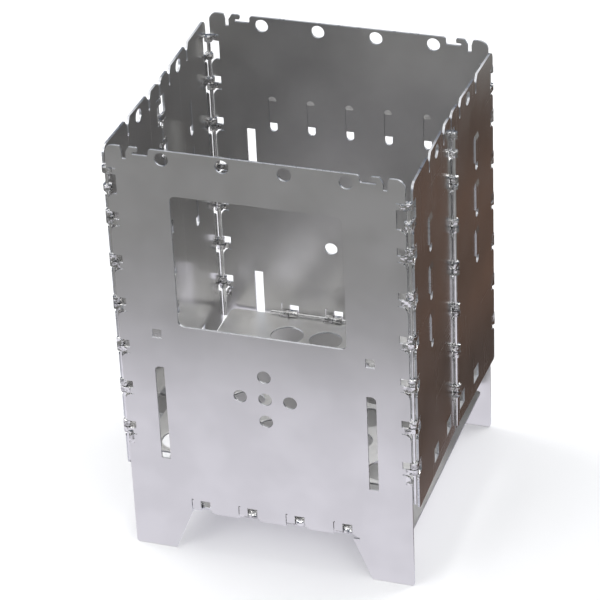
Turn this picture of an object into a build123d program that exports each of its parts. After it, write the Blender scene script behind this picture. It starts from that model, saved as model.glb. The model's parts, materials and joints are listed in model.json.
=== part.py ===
"""Folding rocket stove: a hinged stainless box with a swing-down grate and ash plate.

The front and back panels stand on their own feet. Each side wall is two half panels,
joined in the middle, so that the box folds flat between the two panels.
Every hinge is a wire rod in rolled curls cut from the sheets' own edges.
Origin: on the ground, in the middle of the footprint. +X right, +Y back, +Z up.
"""
import os
from math import atan2, cos, degrees, hypot, radians, sin, sqrt

from build123d import *

# ------------------------------------------------------------------ driving sizes, mm
WIDTH = 122.0  # front and back panel, side to side
DEPTH = 122.0  # outer face of the front panel to outer face of the back panel
HEIGHT = 190.5  # ground to the top of the hooks
SHEET = 0.95  # stainless sheet
ROD_R = 0.8  # hinge wire
FIT = 0.05  # radial clearance of a wire in its curls
GAP = 0.3  # clearance between pieces that pass each other

BORE_R = ROD_R + FIT
CURL_R = BORE_R + SHEET
EDGE = 0.6  # from a hinge wire's centre back to the sheet's edge
CURL_WRAP = 205  # degrees of the wire's circle at which a curl's end stops
ROD_CHAMFER = 0.15
OVERCUT = 1.0  # how far a cut runs past the edge that it opens

# vertical hinges
STATIONS = 6  # below the long notch at the top
STATION_PITCH = 19.85
FIRST_STATION = 58.05
CURL_LENGTH = 2.5
CURL_GAP = 0.5
NOTCH_HEIGHT = 2 * CURL_LENGTH + 3 * CURL_GAP
NOTCH_DEPTH = 3.8
NOTCH_FLARE = 3.0
TOP_NOTCH = (168.7, 180.4)
ROD_SPAN = (40.5, 180.0)
CURL_OFFSET = (CURL_LENGTH + CURL_GAP) / 2

# horizontal hinges of the grate and the ash plate
PLATE_HINGES = (-30.9, -10.3, 10.3, 30.9)
HINGE_WIDTH = 8.15
HINGE_HEIGHT = 5.7
PLATE_CURL = (HINGE_WIDTH - 3 * GAP) / 2
PLATE_CURL_OFFSET = (PLATE_CURL + GAP) / 2
RELIEF_R = 0.45

# front and back panels
PANEL_EDGE = WIDTH / 2
PANEL_INNER = DEPTH / 2 - SHEET
CORNER_ROD_X = PANEL_EDGE + EDGE
CORNER_ROD_Y = PANEL_INNER - BORE_R
LOBE_R = 3.5
SLOT = (7.0, 8.7)  # the upright slot beside the corner lobe, in from the side edge
SLOT_MOUTH = (6.3, 10.1)
SLOT_DEPTH = 5.5
SLOT_MOUTH_DEPTH = 2.3
HOOK_TIP = 13.6  # in from the side edge
HOOK_THROAT = 11.4
HOOK_RECESS_END = 18.1
HOOK_FLOOR = 187.3
HOOK_UNDERSIDE = 188.5
VENT_HOLES_X = (-37.6, -12.7, 12.7, 37.6)
VENT_HOLES_Z = 186.6
VENT_HOLE_R = 2.9
FOOT_WIDTH = 17.7
FOOT_TOP_WIDTH = 26.2
FOOT_HEIGHT = 20.4
WINDOW_HALF = 35.4
WINDOW_Z = (110.8, 170.8)
WINDOW_R = 2.6
SIDE_SLOT_X = (42.9, 46.9)
FRONT_SLOT_R = 2.0  # its outer upper corner
SMALL_R = 0.4
SQUARE_HOLE_Z = (103.9, 108.1)
FRONT_SLOT_Z = (45.1, 90.2)
BACK_SLOTS_Z = ((40.3, 65.3), (105.0, 136.9))
AIR_HOLE_R = 2.9
AIR_HOLE_PITCH = 10.6
AIR_HOLES_Z = 81.6
LOUVRE_WIDTH = 3.6
LOUVRE_LENGTH = 16.8
LOUVRE_TAB = 4.6  # width of the hood over its slot
LOUVRE_STEP = 0.45  # how far the hood stands out past the sheet's outer face
LOUVRE_ROOT = 0.4  # overlap of the tab with the sheet above its slot
LOUVRE_SHORT = 4.0  # from the tab's tip to the slot's lower end
LOUVRE_SLOPE = 2.4  # height over which the tab steps out
LOUVRE_BEND_R = 0.8
BACK_LOUVRES_X = (-34.4, -17.2, 0.0, 17.2, 34.4)
BACK_LOUVRES_Z = 145.15

# side walls, each of two halves
WALL_INNER = CORNER_ROD_X + BORE_R
WALL_OUTER = WALL_INNER + SHEET
MID_ROD_X = WALL_OUTER + BORE_R
WALL_BOTTOM = 38.1
WALL_TOP = 187.7
WALL_CORNER_Y = CORNER_ROD_Y - EDGE
SLIT_Y = (11.7, 34.1)
SLIT_WIDTH = 1.2
SLIT_BOTTOM = 180.0
SLIT_MOUTH_HALF = 3.2
SLIT_MOUTH_DEPTH = 3.0
SLIT_MOUTH_R = 2.0
WALL_HOLE_Y = 22.9
WALL_HOLE_Z = 183.4
WALL_LOUVRES_Y = 34.3
WALL_LOUVRES_Z = (109.05, 131.15, 153.3)
SHELVES_Y = (10.3, 30.9)
SHELF_WIDTH = 6.3
SHELF_LENGTH = 6.5
SHELF_OPENING = (43.9, 50.7)
SHELF_TOP = 43.9
SHELF_ROOT = 0.6  # how far the tab's root reaches down the wall
SHELF_BEND_R = 0.2  # inside the bend
SHELF_OUTER_R = 0.76

# the walls lean in a little towards their middle hinges; each half turns about its corner wire
BOW = 1.4
MIDDLE_X = MID_ROD_X - BOW
WALL_ARM = hypot(MIDDLE_X - CORNER_ROD_X, CORNER_ROD_Y)
WALL_MIDDLE = CORNER_ROD_Y - sqrt(WALL_ARM**2 - (MID_ROD_X - CORNER_ROD_X) ** 2)
LEAN = degrees(
    atan2(MID_ROD_X - CORNER_ROD_X, CORNER_ROD_Y - WALL_MIDDLE) - atan2(MIDDLE_X - CORNER_ROD_X, CORNER_ROD_Y)
)

# grate and ash plate
GRATE_ROD_Z = 46.0
ASH_ROD_Z = 22.2
PLATE_HALF = 57.9
GRATE_FRONT_Y = -55.8
ASH_REAR_Y = 56.0
PLATE_CORNER_R = 3.0
GRATE_HOLE_R = 7.3
GRATE_HOLE_PITCH = 17.8
GRATE_FIRST_ROW_Y = 42.7
GRATE_COLUMNS = 6
GRATE_ROWS = 6
GRATE_ROD_HALF = 39.6
ASH_ROD_SPAN = (-27.6, 36.0)


# ------------------------------------------------------------------ shared pieces
def rounded(points, radii):
    """A face with straight sides through the points, each corner rounded by its radius."""
    return make_face(FilletPolyline(*points, radius=radii, close=True))


def box(low, high):
    """A rectangle between two opposite corners."""
    centre = ((low[0] + high[0]) / 2, (low[1] + high[1]) / 2)
    return Pos(*centre) * Rectangle(high[0] - low[0], high[1] - low[1])


def stations():
    """Heights of the middle of each short notch on a vertical hinge."""
    return [FIRST_STATION + k * STATION_PITCH for k in range(STATIONS)]


def curl_heights(side):
    """Curl centres on a vertical hinge; side is 1 for the upper curl of each station, -1 for the lower one.

    In the long notch at the top the two change places and stand at its ends.
    """
    margin = CURL_GAP + CURL_LENGTH / 2
    top = TOP_NOTCH[0] + margin if side > 0 else TOP_NOTCH[1] - margin
    return [z + side * CURL_OFFSET for z in stations()] + [top]


def curl_section(reach):
    """A strip along -x under the wire, rolled round it until its end nears the strip again."""
    ring = Circle(CURL_R) - Circle(BORE_R)
    end = radians(CURL_WRAP)
    far = 3 * CURL_R
    mouth = make_face(Polyline((0, 0), (far * cos(end), far * sin(end)), (-far, -far), (0, -far), close=True))
    strip = box((-reach, -CURL_R), (0, -BORE_R))
    return (ring - mouth) + strip


def curl(centre, along, away, length, reach):
    """One curl. `along` runs from its sheet to the wire, `away` from the sheet's face to the wire."""
    axis = Vector(*along).cross(Vector(*away))
    plane = Plane(origin=centre, x_dir=along, z_dir=axis)
    return extrude(plane * curl_section(reach), length / 2, both=True)


def upright(sketch, outer_y, inward):
    """A sketch in X and Z made into sheet from its outer face."""
    plane = Plane(origin=(0, outer_y, 0), x_dir=(1, 0, 0), z_dir=(0, -1, 0))
    return extrude(plane * sketch, -inward * SHEET)


def sideways(sketch, inner_x):
    """A sketch in Y and Z made into sheet, out from its inner face towards +X."""
    plane = Plane(origin=(inner_x, 0, 0), x_dir=(0, 1, 0), z_dir=(1, 0, 0))
    return extrude(plane * sketch, SHEET)


def flat(sketch, bottom_z):
    """A sketch in X and Y made into sheet that lies flat."""
    return extrude(Pos(0, 0, bottom_z) * sketch, SHEET)


def edge_notch(low, high):
    """The cut for one hinge station in a sheet that lies at x < 0, its lower lip rounded."""
    start = low - NOTCH_FLARE
    straight = Polyline(
        (0, start),
        (OVERCUT, start),
        (OVERCUT, high),
        (-NOTCH_DEPTH, high),
        (-NOTCH_DEPTH, low),
        (-NOTCH_FLARE, low),
    )
    return make_face([*straight.edges(), CenterArc((-NOTCH_FLARE, start), NOTCH_FLARE, 90, -90)])


def hinge_edge():
    """All the notches of one vertical edge, with the sheet's edge at x = 0."""
    cuts = Sketch()
    for z in stations():
        cuts += edge_notch(z - NOTCH_HEIGHT / 2, z + NOTCH_HEIGHT / 2)
    return cuts + edge_notch(*TOP_NOTCH)


def rod(start, end, radius=ROD_R):
    """A round wire with lightly broken ends."""
    start, end = Vector(*start), Vector(*end)
    plane = Plane(origin=start, z_dir=end - start)
    wire = extrude(plane * Circle(radius), (end - start).length)
    return chamfer(wire.edges().filter_by(GeomType.CIRCLE), ROD_CHAMFER)


# ------------------------------------------------------------------ front and back panels
def panel_outline():
    """The panel's outline: feet, straight sides, corner lobes, hooks and top edge."""
    side = PANEL_EDGE
    right = [
        (0, FOOT_HEIGHT),
        (side - FOOT_TOP_WIDTH, FOOT_HEIGHT),
        (side - FOOT_WIDTH, 0),
        (side, 0),
        (side, HEIGHT),
        (side - SLOT_MOUTH[0], HEIGHT),
        (side - SLOT[0], HEIGHT - SLOT_MOUTH_DEPTH),
        (side - SLOT[0], HEIGHT - SLOT_DEPTH),
        (side - SLOT[1], HEIGHT - SLOT_DEPTH),
        (side - SLOT[1], HEIGHT - SLOT_MOUTH_DEPTH),
        (side - SLOT_MOUTH[1], HEIGHT),
        (side - HOOK_TIP, HEIGHT),
        (side - HOOK_TIP, HOOK_UNDERSIDE),
        (side - HOOK_THROAT, HOOK_UNDERSIDE),
        (side - HOOK_THROAT, HOOK_FLOOR),
        (side - HOOK_RECESS_END, HOOK_FLOOR),
        (side - HOOK_RECESS_END, HEIGHT),
        (0, HEIGHT),
    ]
    radii = [0, 0, 1.0, 1.3, LOBE_R, 0.6, 0, 0.3, 0.3, 0, 0.4, 0.6, 0.5, 0.4, 0.4, 1.0, 1.2, 0]
    half = rounded(right, radii)
    return half + mirror(half, about=Plane.YZ)


def side_cuts(shape):
    """A cut on the right-hand side and its mirror image on the left."""
    return shape + mirror(shape, about=Plane.YZ)


def air_holes():
    """A cross of plain round air holes low in the panel."""
    step = AIR_HOLE_PITCH
    centres = [(0, 0), (step, 0), (-step, 0), (0, step), (0, -step)]
    return Sketch() + [Pos(x, AIR_HOLES_Z + z) * Circle(AIR_HOLE_R) for x, z in centres]


def vent_row():
    """The row of round holes under the top edge."""
    return Sketch() + [Pos(x, VENT_HOLES_Z) * Circle(VENT_HOLE_R) for x in VENT_HOLES_X]


def plate_hinge_opening(bottom, lip):
    """The opening of one station of a plate's hinge, open below where lip is true."""
    half = HINGE_WIDTH / 2
    opening = box((-half, bottom - OVERCUT if lip else bottom), (half, bottom + HINGE_HEIGHT))
    relief = Pos(-half + RELIEF_R, bottom + HINGE_HEIGHT) * Circle(RELIEF_R)
    if not lip:
        return opening + relief
    flare = box((half, bottom - OVERCUT), (half + NOTCH_FLARE, bottom + NOTCH_FLARE))
    flare -= Pos(half + NOTCH_FLARE, bottom + NOTCH_FLARE) * Circle(NOTCH_FLARE)
    return opening + relief + flare


def panel_curls(side_y):
    """The panel's own curls for its two corner wires; side_y is -1 at the front, 1 at the back."""
    shapes = []
    reach = EDGE + NOTCH_DEPTH
    for z in curl_heights(-1):
        centre = (CORNER_ROD_X, side_y * CORNER_ROD_Y, z)
        shape = curl(centre, (1, 0, 0), (0, -side_y, 0), CURL_LENGTH, reach)
        shapes += [shape, mirror(shape, about=Plane.YZ)]
    return shapes


def hanging_curls(side_y, rod_z):
    """The panel's own curls for a plate's wire, in the left half of each station."""
    reach = HINGE_HEIGHT - CURL_R
    shapes = []
    for x in PLATE_HINGES:
        centre = (x - PLATE_CURL_OFFSET, side_y * CORNER_ROD_Y, rod_z)
        shapes.append(curl(centre, (0, 0, -1), (0, -side_y, 0), PLATE_CURL, reach))
    return shapes


def front_panel():
    """The front panel, with the feed window, air openings and the ash plate's hinge."""
    sketch = panel_outline()
    sketch -= side_cuts(Pos(PANEL_EDGE, 0) * hinge_edge())
    sketch -= vent_row()
    window_mid = sum(WINDOW_Z) / 2
    sketch -= Pos(0, window_mid) * RectangleRounded(2 * WINDOW_HALF, WINDOW_Z[1] - WINDOW_Z[0], WINDOW_R)
    sketch -= side_cuts(box((SIDE_SLOT_X[0], SQUARE_HOLE_Z[0]), (SIDE_SLOT_X[1], SQUARE_HOLE_Z[1])))
    low, high = FRONT_SLOT_Z
    inner, outer = SIDE_SLOT_X
    corners = [(inner, low), (outer, low), (outer, high), (inner, high)]
    sketch -= side_cuts(rounded(corners, [SMALL_R, SMALL_R, FRONT_SLOT_R, SMALL_R]))
    sketch -= air_holes()
    bottom = ASH_ROD_Z - CURL_R
    for x in PLATE_HINGES:
        sketch -= Pos(x, 0) * plate_hinge_opening(bottom, True)
    body = upright(sketch, -DEPTH / 2, 1)
    return body + panel_curls(-1) + hanging_curls(-1, ASH_ROD_Z)


def louvre(length, width):
    """A louvre's tab in local axes: x across, y outwards from the sheet's outer face, z up.

    It leaves the slot's upper end, steps outwards by its joggle and hangs down over the slot.
    """
    root = length / 2
    step = root - LOUVRE_SLOPE
    tip = -length / 2 + LOUVRE_SHORT
    joggle = LOUVRE_STEP
    section = rounded(
        [
            (-SHEET, root + LOUVRE_ROOT),
            (0, root + LOUVRE_ROOT),
            (0, root),
            (joggle, step),
            (joggle, tip),
            (joggle - SHEET, tip),
            (joggle - SHEET, step),
            (-SHEET, root),
        ],
        [0, 0, LOUVRE_BEND_R, LOUVRE_BEND_R, 0, 0, LOUVRE_BEND_R, LOUVRE_BEND_R],
    )
    return extrude(Plane.YZ * section, width / 2, both=True)


def back_panel():
    """The back panel, with louvred air slots and the grate's hinge."""
    sketch = panel_outline()
    sketch -= side_cuts(Pos(PANEL_EDGE, 0) * hinge_edge())
    sketch -= vent_row()
    for x in BACK_LOUVRES_X:
        sketch -= Pos(x, BACK_LOUVRES_Z) * Rot(0, 0, 90) * SlotOverall(LOUVRE_LENGTH, LOUVRE_WIDTH)
    for low, high in BACK_SLOTS_Z:
        sketch -= side_cuts(box((SIDE_SLOT_X[0], low), (SIDE_SLOT_X[1], high)))
    sketch -= air_holes()
    bottom = GRATE_ROD_Z - CURL_R
    for x in PLATE_HINGES:
        sketch -= Pos(x, 0) * plate_hinge_opening(bottom, False)
    body = upright(sketch, DEPTH / 2, -1)
    tabs = [Pos(x, DEPTH / 2, BACK_LOUVRES_Z) * louvre(LOUVRE_LENGTH, LOUVRE_TAB) for x in BACK_LOUVRES_X]
    return body + tabs + panel_curls(1) + hanging_curls(1, GRATE_ROD_Z)


# ------------------------------------------------------------------ side walls
def wall_sketch():
    """The right-hand wall's rear half, laid out in Y and Z."""
    near, far = WALL_MIDDLE + EDGE, WALL_CORNER_Y
    sketch = rounded(
        [(near, WALL_BOTTOM), (far, WALL_BOTTOM), (far, WALL_TOP), (near, WALL_TOP)], [0.5, 1.2, 3.5, 3.0]
    )
    sketch -= Pos(far, 0) * hinge_edge()
    sketch -= Pos(near, 0) * mirror(hinge_edge(), about=Plane.YZ)
    half = SLIT_WIDTH / 2
    mouth = WALL_TOP - SLIT_MOUTH_DEPTH
    slit = rounded(
        [
            (-half, SLIT_BOTTOM),
            (half, SLIT_BOTTOM),
            (half, mouth),
            (SLIT_MOUTH_HALF, WALL_TOP + OVERCUT),
            (-SLIT_MOUTH_HALF, WALL_TOP + OVERCUT),
            (-half, mouth),
        ],
        [half * 0.98, half * 0.98, SLIT_MOUTH_R, 0, 0, SLIT_MOUTH_R],
    )
    for y in SLIT_Y:
        sketch -= Pos(y, 0) * slit
    sketch -= Pos(WALL_HOLE_Y, WALL_HOLE_Z) * Circle(VENT_HOLE_R)
    for z in WALL_LOUVRES_Z:
        sketch -= Pos(WALL_LOUVRES_Y, z) * Rot(0, 0, 90) * SlotOverall(LOUVRE_LENGTH, LOUVRE_WIDTH)
    shelf_half = SHELF_WIDTH / 2 + GAP
    for y in SHELVES_Y:
        sketch -= box((y - shelf_half, SHELF_OPENING[0]), (y + shelf_half, SHELF_OPENING[1]))
    return sketch


def shelf(y):
    """A tab bent in from the wall to carry the grate's edge."""
    tip = WALL_INNER - SHELF_LENGTH
    underside = SHELF_TOP - SHEET
    root = underside - SHELF_ROOT
    section = rounded(
        [
            (WALL_OUTER, root),
            (WALL_OUTER, SHELF_TOP),
            (tip, SHELF_TOP),
            (tip, underside),
            (WALL_INNER, underside),
            (WALL_INNER, root),
        ],
        [0, SHELF_OUTER_R, 0, 0, SHELF_BEND_R, 0],
    )
    plane = Plane(origin=(0, y, 0), x_dir=(1, 0, 0), z_dir=(0, -1, 0))
    return extrude(plane * section, SHELF_WIDTH / 2, both=True)


def wall_half(end):
    """A half of the right-hand wall; end is -1 for the front half, 1 for the rear half."""
    sketch = wall_sketch()
    if end < 0:
        sketch = mirror(sketch, about=Plane.YZ)
    body = sideways(sketch, WALL_INNER)
    reach = EDGE + NOTCH_DEPTH
    shapes = []
    for z in curl_heights(1):
        corner = (CORNER_ROD_X, end * CORNER_ROD_Y, z)
        shapes.append(curl(corner, (0, end, 0), (-1, 0, 0), CURL_LENGTH, reach))
    for z in curl_heights(end):
        middle = (MID_ROD_X, end * WALL_MIDDLE, z)
        shapes.append(curl(middle, (0, -end, 0), (1, 0, 0), CURL_LENGTH, reach))
    for z in WALL_LOUVRES_Z:
        outward = Rot(0, 0, -90) * louvre(LOUVRE_LENGTH, LOUVRE_TAB)
        shapes.append(Pos(WALL_OUTER, end * WALL_LOUVRES_Y, z) * outward)
    shapes += [shelf(end * y) for y in SHELVES_Y]
    corner_wire = Axis((CORNER_ROD_X, end * CORNER_ROD_Y, 0), (0, 0, 1))
    return (body + shapes).rotate(corner_wire, -end * LEAN)


# ------------------------------------------------------------------ grate and ash plate
def plate_curls(side_y, rod_z, hinges):
    """The curls of a plate whose hinge is at the front (-1) or the back (1)."""
    reach = 2 * EDGE
    shapes = []
    for x in hinges:
        centre = (x + PLATE_CURL_OFFSET, side_y * CORNER_ROD_Y, rod_z)
        shapes.append(curl(centre, (0, side_y, 0), (0, 0, 1), PLATE_CURL, reach))
    return shapes


def hinge_clearance(side_y):
    """Cuts that keep a plate's edge clear of the panel's own curls."""
    cuts = Sketch()
    half = HINGE_WIDTH / 2 + GAP
    inner = CORNER_ROD_Y - CURL_R - GAP
    for x in PLATE_HINGES:
        low, high = sorted((side_y * inner, side_y * (CORNER_ROD_Y + OVERCUT)))
        cuts += box((x - half, low), (x - GAP / 2, high))
    return cuts


def grate():
    """The perforated plate that carries the fire; it swings up about its rear edge."""
    low, high = GRATE_FRONT_Y, CORNER_ROD_Y - EDGE
    sketch = Pos(0, (low + high) / 2) * RectangleRounded(2 * PLATE_HALF, high - low, PLATE_CORNER_R)
    first = -(GRATE_COLUMNS - 1) / 2 * GRATE_HOLE_PITCH
    for i in range(GRATE_COLUMNS):
        for j in range(GRATE_ROWS):
            if j == 0 and i in (0, GRATE_COLUMNS - 1):
                continue  # the rear corners stay whole
            centre = (first + i * GRATE_HOLE_PITCH, GRATE_FIRST_ROW_Y - j * GRATE_HOLE_PITCH)
            sketch -= Pos(*centre) * Circle(GRATE_HOLE_R)
    sketch -= hinge_clearance(1)
    return flat(sketch, GRATE_ROD_Z - CURL_R) + plate_curls(1, GRATE_ROD_Z, PLATE_HINGES)


def ash_plate():
    """The plain plate under the grate; it swings up about its front edge."""
    low, high = -(CORNER_ROD_Y - EDGE), ASH_REAR_Y
    sketch = Pos(0, (low + high) / 2) * RectangleRounded(2 * PLATE_HALF, high - low, PLATE_CORNER_R / 2)
    sketch -= hinge_clearance(-1)
    return flat(sketch, ASH_ROD_Z - CURL_R) + plate_curls(-1, ASH_ROD_Z, PLATE_HINGES[1:])


# ------------------------------------------------------------------ assembly
def vertical_rod(x, y):
    """A wire of a vertical hinge."""
    return rod((x, y, ROD_SPAN[0]), (x, y, ROD_SPAN[1]))


def level_rod(start_x, end_x, y, z):
    """A wire of a plate's hinge."""
    return rod((start_x, y, z), (end_x, y, z))


def build():
    """Every piece of the stove by name."""
    front_half, rear_half = wall_half(-1), wall_half(1)
    return {
        "front_panel": front_panel(),
        "back_panel": back_panel(),
        "right_wall_front": front_half,
        "right_wall_rear": rear_half,
        "left_wall_front": mirror(front_half, about=Plane.YZ),
        "left_wall_rear": mirror(rear_half, about=Plane.YZ),
        "rod_front_left": vertical_rod(-CORNER_ROD_X, -CORNER_ROD_Y),
        "rod_front_right": vertical_rod(CORNER_ROD_X, -CORNER_ROD_Y),
        "rod_rear_left": vertical_rod(-CORNER_ROD_X, CORNER_ROD_Y),
        "rod_rear_right": vertical_rod(CORNER_ROD_X, CORNER_ROD_Y),
        "rod_middle_left": vertical_rod(-MIDDLE_X, 0),
        "rod_middle_right": vertical_rod(MIDDLE_X, 0),
        "grate": grate(),
        "grate_rod": level_rod(-GRATE_ROD_HALF, GRATE_ROD_HALF, CORNER_ROD_Y, GRATE_ROD_Z),
        "ash_plate": ash_plate(),
        "ash_rod": level_rod(*ASH_ROD_SPAN, -CORNER_ROD_Y, ASH_ROD_Z),
    }


os.makedirs("parts", exist_ok=True)
for name, shape in build().items():
    export_step(shape, f"parts/{name}.step")
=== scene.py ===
"""Looks of the folding rocket stove: bright rolled stainless sheet, drawn wire and soft studio light."""
import json
from math import cos, pi, radians, sin

import bmesh
import bpy
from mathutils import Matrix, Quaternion, Vector


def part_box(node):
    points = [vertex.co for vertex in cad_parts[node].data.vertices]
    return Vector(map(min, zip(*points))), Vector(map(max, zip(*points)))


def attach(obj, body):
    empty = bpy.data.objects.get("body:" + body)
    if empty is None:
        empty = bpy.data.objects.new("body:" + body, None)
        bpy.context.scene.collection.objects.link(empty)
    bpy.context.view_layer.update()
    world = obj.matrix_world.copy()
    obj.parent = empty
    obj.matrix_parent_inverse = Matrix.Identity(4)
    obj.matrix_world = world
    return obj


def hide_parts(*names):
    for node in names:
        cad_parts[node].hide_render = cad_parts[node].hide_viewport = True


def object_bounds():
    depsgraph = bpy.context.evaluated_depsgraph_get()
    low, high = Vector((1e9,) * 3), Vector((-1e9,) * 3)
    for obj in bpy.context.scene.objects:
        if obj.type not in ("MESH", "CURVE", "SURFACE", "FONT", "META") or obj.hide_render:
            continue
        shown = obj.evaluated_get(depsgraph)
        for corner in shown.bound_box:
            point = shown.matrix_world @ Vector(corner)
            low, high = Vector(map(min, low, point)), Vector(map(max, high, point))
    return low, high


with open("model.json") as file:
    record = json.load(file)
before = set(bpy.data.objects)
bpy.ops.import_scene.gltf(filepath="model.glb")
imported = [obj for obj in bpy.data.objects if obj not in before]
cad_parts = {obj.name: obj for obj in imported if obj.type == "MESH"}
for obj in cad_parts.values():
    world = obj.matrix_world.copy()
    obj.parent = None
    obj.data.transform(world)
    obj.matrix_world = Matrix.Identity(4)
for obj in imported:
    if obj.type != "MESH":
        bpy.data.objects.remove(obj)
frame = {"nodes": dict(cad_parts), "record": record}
CAD_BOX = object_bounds()
HALF_WIDTH = CAD_BOX[1][0]
HALF_DEPTH = CAD_BOX[1][1]
BODY_OF = {name: body for body, names in frame["record"]["behaviour"]["bodies"].items() for name in names}
MM = 0.001

# ------------------------------------------------------------------ camera
CAMERA_PLACE = Vector((0.3395, -0.9696, 0.7172))
CAMERA_AZIMUTH = radians(19.547)
CAMERA_ELEVATION = radians(31.288)
CAMERA_ROLL = radians(-2.673)
CAMERA_LENS = 172.7
SENSOR = 36.0
CLIP_START = 0.01


def add_camera():
    """A long lens in front of the stove, a little to its right and well above it."""
    data = bpy.data.cameras.new("camera")
    data.lens = CAMERA_LENS
    data.sensor_width = SENSOR
    data.clip_start = CLIP_START
    camera = bpy.data.objects.new("camera", data)
    bpy.context.collection.objects.link(camera)
    level = cos(CAMERA_ELEVATION)
    view = Vector((-sin(CAMERA_AZIMUTH) * level, cos(CAMERA_AZIMUTH) * level, -sin(CAMERA_ELEVATION)))
    turn = view.to_track_quat("-Z", "Y") @ Quaternion((0, 0, 1), CAMERA_ROLL)
    camera.rotation_mode = "QUATERNION"
    camera.rotation_quaternion = turn
    camera.location = CAMERA_PLACE
    bpy.context.scene.camera = camera


# ------------------------------------------------------------------ node helpers
def node(tree, kind, inputs=None, **settings):
    """A shader node; each input is a value or another node's output."""
    made = tree.nodes.new(kind)
    for key, value in settings.items():
        setattr(made, key, value)
    for key, value in (inputs or {}).items():
        if isinstance(value, bpy.types.NodeSocket):
            tree.links.new(value, made.inputs[key])
        else:
            made.inputs[key].default_value = value
    return made


def calculate(tree, operation, *values, clamp=False):
    """The result of a Math node."""
    made = node(tree, "ShaderNodeMath", dict(enumerate(values)), operation=operation, use_clamp=clamp)
    return made.outputs[0]


def ramp(tree, value, low, high, start=0.0, end=1.0):
    """value smoothly remapped from the range low..high to start..end."""
    limits = {"Value": value, "From Min": low, "From Max": high, "To Min": start, "To Max": end}
    return node(tree, "ShaderNodeMapRange", limits, interpolation_type="SMOOTHSTEP").outputs[0]


def mix(tree, factor, first, second):
    """A colour between two colours."""
    made = node(tree, "ShaderNodeMix", data_type="RGBA")
    for socket, value in (("Factor_Float", factor), ("A_Color", first), ("B_Color", second)):
        target = next(i for i in made.inputs if i.identifier == socket)
        if isinstance(value, bpy.types.NodeSocket):
            tree.links.new(value, target)
        else:
            target.default_value = value if socket == "Factor_Float" else (*value, 1)
    return next(o for o in made.outputs if o.identifier == "Result_Color")


def noise(tree, place, scale, detail=4.0, stretch=(1, 1, 1), turn=(0, 0, 0)):
    """Noise in the piece's own space; scale is in features per metre before the stretch."""
    mapped = node(tree, "ShaderNodeMapping", {"Vector": place, "Scale": stretch, "Rotation": turn})
    made = node(tree, "ShaderNodeTexNoise", {"Vector": mapped.outputs[0], "Scale": scale, "Detail": detail})
    return made.outputs["Fac"]


def bump(tree, height, strength, distance, normal=None, invert=False):
    """The surface's normal with a relief added to it."""
    inputs = {"Height": height, "Strength": strength, "Distance": distance}
    if normal:
        inputs["Normal"] = normal
    return node(tree, "ShaderNodeBump", inputs, invert=invert).outputs[0]


def own_space(tree):
    """Coordinates in metres that stay with the piece."""
    return node(tree, "ShaderNodeTexCoord").outputs["Object"]


def shaded(colour, share):
    """A colour made darker or lighter by a share of itself."""
    return tuple(channel * share for channel in colour)


def new_material(name):
    """An empty node material: the material, its tree and its shader."""
    material = bpy.data.materials.new(name)
    material.use_nodes = True
    tree = material.node_tree
    return material, tree, tree.nodes["Principled BSDF"]


# ------------------------------------------------------------------ floor
FLOOR_HALF = 3.0
FLOOR_COLOUR = (0.9, 0.9, 0.9)
FLOOR_FADE = (0.35, 1.6)  # distances from the stove between which the floor turns white
FLOOR_GLOW = 0.4
CARD_HALF = 1.6
CARD_LIFT = 0.3 * MM
NEAR_CARD = (0.95, 0.935, 1.03)  # what the steel mirrors close to the stove
FAR_CARD = (0.285, 0.285, 0.28)  # and further out, past the edge of the white sweep
SWEEP_EDGE = (0.11, 0.185)  # distances from the stove between which the one fades into the other
BROWN_CARD = (0.046, 0.040, 0.037)
BROWN_BANDS = (0.19, 0.115, 0.085)
BAND_STRETCH = (48, 3, 1)  # bands per metre, across and along the card
BAND_EDGE = (0.38, 0.66)
BROWN_LEFT_EDGE = (HALF_WIDTH + 1 * MM, HALF_WIDTH + 8 * MM)
BROWN_RIGHT_EDGE = (0.19, 0.26)
BROWN_FRONT_EDGE = (-HALF_DEPTH, -HALF_DEPTH + 15 * MM)
BROWN_REAR_EDGE = (0.34, 0.45)


def plane(name, half, height):
    """A square sheet lying flat."""
    mesh = bpy.data.meshes.new(name)
    corners = [(-half, -half, height), (half, -half, height), (half, half, height), (-half, half, height)]
    mesh.from_pydata(corners, [], [(0, 1, 2, 3)])
    made = bpy.data.objects.new(name, mesh)
    bpy.context.collection.objects.link(made)
    return made


def add_floor():
    """A plain pale floor that fades into the white background."""
    floor = plane("floor", FLOOR_HALF, 0)
    material, tree, shader = new_material("floor")
    shader.inputs["Base Color"].default_value = (*FLOOR_COLOUR, 1)
    shader.inputs["Roughness"].default_value = 1.0
    shader.inputs["Specular IOR Level"].default_value = 0.0
    shader.inputs["Emission Color"].default_value = (1, 1, 1, 1)
    away = node(tree, "ShaderNodeVectorMath", {0: own_space(tree)}, operation="LENGTH").outputs["Value"]
    glow = ramp(tree, away, *FLOOR_FADE, 0.0, FLOOR_GLOW)
    tree.links.new(glow, shader.inputs["Emission Strength"])
    floor.data.materials.append(material)


def brown_share(tree, across, back):
    """Where on the floor card the brown patch lies: 1 inside it, 0 outside."""
    share = ramp(tree, across, *BROWN_LEFT_EDGE)
    share = calculate(tree, "MULTIPLY", share, ramp(tree, across, *BROWN_RIGHT_EDGE, 1.0, 0.0))
    share = calculate(tree, "MULTIPLY", share, ramp(tree, back, *BROWN_FRONT_EDGE))
    return calculate(tree, "MULTIPLY", share, ramp(tree, back, *BROWN_REAR_EDGE, 1.0, 0.0))


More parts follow.
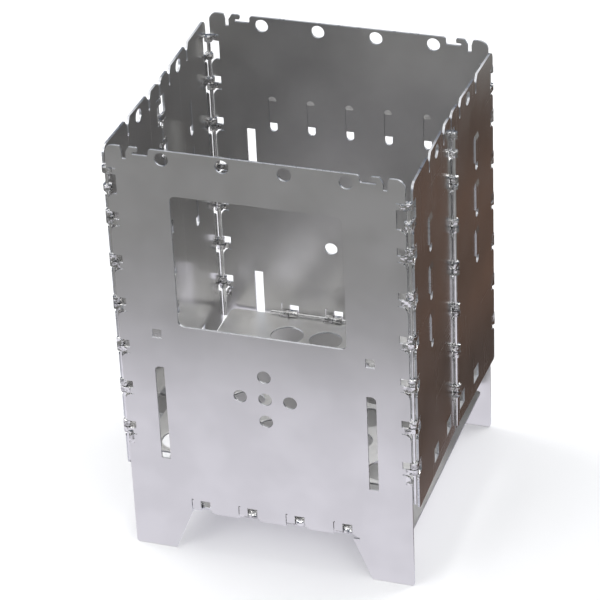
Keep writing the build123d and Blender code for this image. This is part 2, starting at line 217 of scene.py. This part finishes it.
def add_floor_card():
    """What the steel mirrors of the studio floor: white close by, grey further out, brown on the right."""
    card = plane("floor_card", CARD_HALF, CARD_LIFT)
    card.visible_camera = False
    card.visible_diffuse = False
    card.visible_transmission = False
    card.visible_shadow = False
    material, tree, shader = new_material("floor_card")
    place = own_space(tree)
    split = node(tree, "ShaderNodeSeparateXYZ", {"Vector": place})
    across, back = split.outputs["X"], split.outputs["Y"]
    sideways = calculate(tree, "ABSOLUTE", across)
    lengthways = calculate(tree, "ABSOLUTE", back)
    away = calculate(tree, "SUBTRACT", calculate(tree, "MAXIMUM", sideways, lengthways), HALF_DEPTH)
    sweep = mix(tree, ramp(tree, away, *SWEEP_EDGE), NEAR_CARD, FAR_CARD)
    bands = noise(tree, place, scale=1.0, detail=4, stretch=BAND_STRETCH)
    brown = mix(tree, ramp(tree, bands, *BAND_EDGE), BROWN_CARD, BROWN_BANDS)
    colour = mix(tree, brown_share(tree, across, back), sweep, brown)
    glow = node(tree, "ShaderNodeEmission", {"Color": colour})
    tree.links.new(glow.outputs[0], tree.nodes["Material Output"].inputs["Surface"])
    tree.nodes.remove(shader)
    card.data.materials.append(material)


# ------------------------------------------------------------------ light
HORIZON = (0.17, 0.195, 0.25)
CEILING = (1.5, 1.5, 1.5)
ZENITH = (0.55, 0.56, 0.58)
CEILING_RISE = (0.40, 0.80)  # heights of the view, as sines, between which the horizon turns into ceiling
ZENITH_RISE = (0.84, 0.98)
SOFTBOXES = {  # place, the point that it faces, size, and how bright its face is
    "high_left": ((-0.75, 0.1, 0.95), (0, 0, 0), (0.55, 0.55), 4.0),
    "high_right": ((0.6, 0.55, 0.95), (0, 0, 0), (0.55, 0.55), 4.0),
    "front_left": ((-0.55, -0.85, 0.62), (0, 0, 0.1), (0.6, 0.45), 3.0),
    "front_right": ((0.65, -0.85, 0.62), (0, 0, 0.1), (0.6, 0.45), 3.0),
}


def add_world():
    """White behind the stove; a softer room, brighter overhead, in its reflections."""
    world = bpy.data.worlds.new("studio")
    world.use_nodes = True
    tree = world.node_tree
    direction = node(tree, "ShaderNodeTexCoord").outputs["Generated"]
    height = node(tree, "ShaderNodeSeparateXYZ", {"Vector": direction}).outputs["Z"]
    room = mix(tree, ramp(tree, height, *CEILING_RISE), HORIZON, CEILING)
    room = mix(tree, ramp(tree, height, *ZENITH_RISE), room, ZENITH)
    seen = node(tree, "ShaderNodeLightPath").outputs["Is Camera Ray"]
    colour = mix(tree, seen, room, (1, 1, 1))
    tree.links.new(colour, tree.nodes["Background"].inputs["Color"])
    bpy.context.scene.world = world


def add_softbox(name, place, aim, size, radiance):
    """A soft rectangular light that faces a point."""
    data = bpy.data.lights.new(name, "AREA")
    data.shape = "RECTANGLE"
    data.size, data.size_y = size
    data.energy = radiance * pi * size[0] * size[1]
    light = bpy.data.objects.new(name, data)
    bpy.context.collection.objects.link(light)
    light.location = place
    light.rotation_mode = "QUATERNION"
    light.rotation_quaternion = (Vector(aim) - Vector(place)).to_track_quat("-Z", "Y")


# ------------------------------------------------------------------ materials
def rolled_steel(name, colour, roughness, turn=(0, 0, 0)):
    """Bright rolled stainless sheet: faint mottling, fine rolling grain, smudges and hair scratches."""
    material, tree, shader = new_material(name)
    place = own_space(tree)
    mottle = noise(tree, place, scale=45, detail=2)
    grain = noise(tree, place, scale=900, detail=3, stretch=(1, 1, 0.03), turn=turn)
    smudge = noise(tree, place, scale=55, detail=3)
    upright = noise(tree, place, scale=2600, detail=1, stretch=(1, 1, 0.004), turn=(0.2, 0.15, 0))
    level = noise(tree, place, scale=2600, detail=1, stretch=(0.004, 0.004, 1), turn=(0.1, -0.2, 0))
    upright = ramp(tree, upright, 0.72, 0.78)
    level = ramp(tree, level, 0.73, 0.79)
    scratches = calculate(tree, "ADD", upright, level, clamp=True)

    toned = mix(tree, ramp(tree, mottle, 0.35, 0.65), shaded(colour, 0.96), shaded(colour, 1.03))
    tree.links.new(toned, shader.inputs["Base Color"])
    gloss = ramp(tree, smudge, 0.35, 0.68, roughness - 0.02, roughness + 0.03)
    gloss = calculate(tree, "ADD", gloss, calculate(tree, "MULTIPLY", scratches, 0.10))
    tree.links.new(gloss, shader.inputs["Roughness"])
    shader.inputs["Metallic"].default_value = 1.0

    waves = noise(tree, place, scale=22, detail=2)
    normal = bump(tree, waves, strength=0.05, distance=0.6 * MM)
    normal = bump(tree, grain, strength=0.05, distance=0.05 * MM, normal=normal)
    normal = bump(tree, scratches, strength=0.12, distance=0.02 * MM, normal=normal, invert=True)
    tree.links.new(normal, shader.inputs["Normal"])
    return material


def mottled_metal(name, tone, gloss, relief):
    """Metal whose colour, roughness and relief each follow a noise of their own.

    tone is a scale, the two heights between which the colour changes, and the two colours;
    gloss is a scale, a detail and the lowest and highest roughness; relief is a scale, a detail,
    a strength and a distance.
    """
    material, tree, shader = new_material(name)
    place = own_space(tree)
    scale, low, high, dark, light = tone
    toned = mix(tree, ramp(tree, noise(tree, place, scale, detail=3), low, high), dark, light)
    tree.links.new(toned, shader.inputs["Base Color"])
    shader.inputs["Metallic"].default_value = 1.0
    scale, detail, smooth, rough = gloss
    polish = ramp(tree, noise(tree, place, scale, detail), 0.3, 0.7, smooth, rough)
    tree.links.new(polish, shader.inputs["Roughness"])
    scale, detail, strength, distance = relief
    normal = bump(tree, noise(tree, place, scale, detail), strength, distance)
    tree.links.new(normal, shader.inputs["Normal"])
    return material


def drawn_wire(name, colour, roughness):
    """Bright drawn wire with fine draw lines."""
    return mottled_metal(
        name,
        tone=(160, 0.3, 0.7, shaded(colour, 0.85), colour),
        gloss=(300, 4, roughness - 0.04, roughness + 0.08),
        relief=(2500, 2, 0.1, 0.02 * MM),
    )


def burnished_steel(name, colour, roughness):
    """Steel rolled round the hinge wires: shiny, with relief uneven from the tool, and random darker patches
    in its colour that are painted shade for the curls' dark crevices.
    """
    return mottled_metal(
        name,
        # the darker tone, down to about half the colour, is painted shade for the crevices of the curls
        tone=(420, 0.35, 0.6, shaded(colour, 0.55), colour),
        gloss=(700, 3, roughness - 0.04, roughness + 0.10),
        relief=(330, 2, 0.9, 1.6 * MM),
    )


def cut_edge(name, colour, roughness):
    """The sheet's cut edge: fine tear marks across its thickness, and a slight bluish tint in its colour
    that is a painted reflection of the bluish sky.
    """
    return mottled_metal(
        name,
        tone=(2200, 0.3, 0.7, shaded(colour, 0.8), colour),
        gloss=(500, 3, roughness - 0.08, roughness + 0.08),
        relief=(2200, 3, 0.3, 0.03 * MM),
    )


# ------------------------------------------------------------------ sheet pieces
MERGE = 0.002 * MM
COPLANAR = radians(0.5)  # faces that turn less than this are one flat face
BREAK = 0.10 * MM  # how far each sharp edge is broken
SHARP = radians(35)  # an edge that turns more than this is broken
CREASE = radians(30)  # an edge that turns more than this is shaded as a crease
FLAT = 0.9995  # how squarely a face looks out of the sheet before it is shaded flat
SHEET_FACE = cos(pi / 8)  # how squarely it does before it is the sheet's face and not its cut edge
CURL_REACH = 3.3 * MM  # from a wire's centre to the middle of its curls' faces
CURL_WIDTH = 5.0 * MM  # no face of a curl is wider than this along its wire
TONGUE = 4.4 * MM  # from a wire's centre to where its curls leave the sheet
SHEET_NORMAL = {"panel_steel": 1, "wall_steel": 0, "plate_steel": 2}
WIRE_SLOT = "hinge_wire"


def wires():
    """The hinge wires: the middle of each, half its length and the axis that it lies along."""
    found = []
    for part in frame["record"]["subparts"]:
        if part["material_slot"] == WIRE_SLOT:
            low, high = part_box(part["node"])
            size = high - low
            along = max(range(3), key=lambda axis: size[axis])
            found.append(((low + high) / 2, size[along] / 2, along))
    return found


WIRES = wires()


def in_curl(face):
    """Whether a face belongs to a curl around one of the hinge wires."""
    place = face.calc_center_bounds()
    for centre, half, along in WIRES:
        away = place - centre
        if abs(away[along]) > half:
            continue
        away[along] = 0
        spread = [vert.co[along] for vert in face.verts]
        if away.length < CURL_REACH and max(spread) - min(spread) < CURL_WIDTH:
            return True
    return False


def break_edges(form):
    """A form with its flat faces whole and every sharp edge broken."""
    bmesh.ops.remove_doubles(form, verts=form.verts, dist=MERGE)
    bmesh.ops.dissolve_limit(form, angle_limit=COPLANAR, verts=form.verts, edges=form.edges)
    sharp = [edge for edge in form.edges if edge.calc_face_angle(0) > SHARP]
    bmesh.ops.bevel(
        form,
        geom=sharp,
        offset=BREAK,
        offset_type="OFFSET",
        segments=1,
        profile=0.5,
        affect="EDGES",
        clamp_overlap=True,
    )


def cut_tongues(form, across):
    """Edges where each curl leaves its sheet, whose faces point along the axis across."""
    for centre, half, along in WIRES:
        if along == across:
            continue
        reach = 3 - along - across
        for side in (-TONGUE, TONGUE):
            place, normal = centre.copy(), Vector()
            place[reach] += side
            normal[reach] = 1
            geometry = [*form.verts, *form.edges, *form.faces]
            bmesh.ops.bisect_plane(form, geom=geometry, plane_co=place, plane_no=normal, dist=1e-7)


def shade_faces(form, across):
    """Each face's material and smoothness: 0 is the sheet, 1 a curl and 2 the cut edge."""
    for face in form.faces:
        facing = abs(face.normal[across])
        curled = in_curl(face)
        face.smooth = curled or facing < FLAT
        if curled:
            face.material_index = 1
        elif facing < SHEET_FACE:
            face.material_index = 2
    for edge in form.edges:
        edge.smooth = edge.calc_face_angle(0) < CREASE


def finish_sheet(name, slot, materials):
    """A copy of a sheet piece with broken edges, burnished curls and cut edges, in place of the CAD node."""
    form = bmesh.new()
    form.from_mesh(frame["nodes"][name].data)
    across = SHEET_NORMAL[slot]
    break_edges(form)
    cut_tongues(form, across)
    shade_faces(form, across)
    mesh = bpy.data.meshes.new(name + "_finished")
    form.to_mesh(mesh)
    form.free()
    for material in materials:
        mesh.materials.append(material)
    piece = bpy.data.objects.new(name + "_finished", mesh)
    bpy.context.collection.objects.link(piece)
    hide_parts(name)
    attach(piece, BODY_OF[name])


def finish_wire(name, material):
    """The drawn wire's material on a CAD node."""
    surface = frame["nodes"][name].data
    surface.materials.clear()
    surface.materials.append(material)


# ------------------------------------------------------------------ the scene
add_camera()
add_floor()
add_floor_card()
add_world()
for name, settings in SOFTBOXES.items():
    add_softbox(name, *settings)

SHEET_STEEL = {
    "panel_steel": rolled_steel("panel_steel", (0.68, 0.675, 0.67), 0.30),
    "wall_steel": rolled_steel("wall_steel", (0.67, 0.665, 0.655), 0.20),
    "plate_steel": rolled_steel("plate_steel", (0.80, 0.795, 0.785), 0.34, turn=(pi / 2, 0, 0)),
}
WIRE_STEEL = drawn_wire(WIRE_SLOT, (0.80, 0.80, 0.80), 0.12)
CURL_STEEL = burnished_steel("curl_steel", (0.74, 0.735, 0.73), 0.12)
# the cut edge's bluish colour is a painted reflection of the sky
CUT_STEEL = cut_edge("cut_edge", (0.66, 0.67, 0.69), 0.34)
for part in frame["record"]["subparts"]:
    name, slot = part["node"], part["material_slot"]
    if slot == WIRE_SLOT:
        finish_wire(name, WIRE_STEEL)
    else:
        finish_sheet(name, slot, (SHEET_STEEL[slot], CURL_STEEL, CUT_STEEL))

bpy.context.scene.view_settings.view_transform = "Standard"
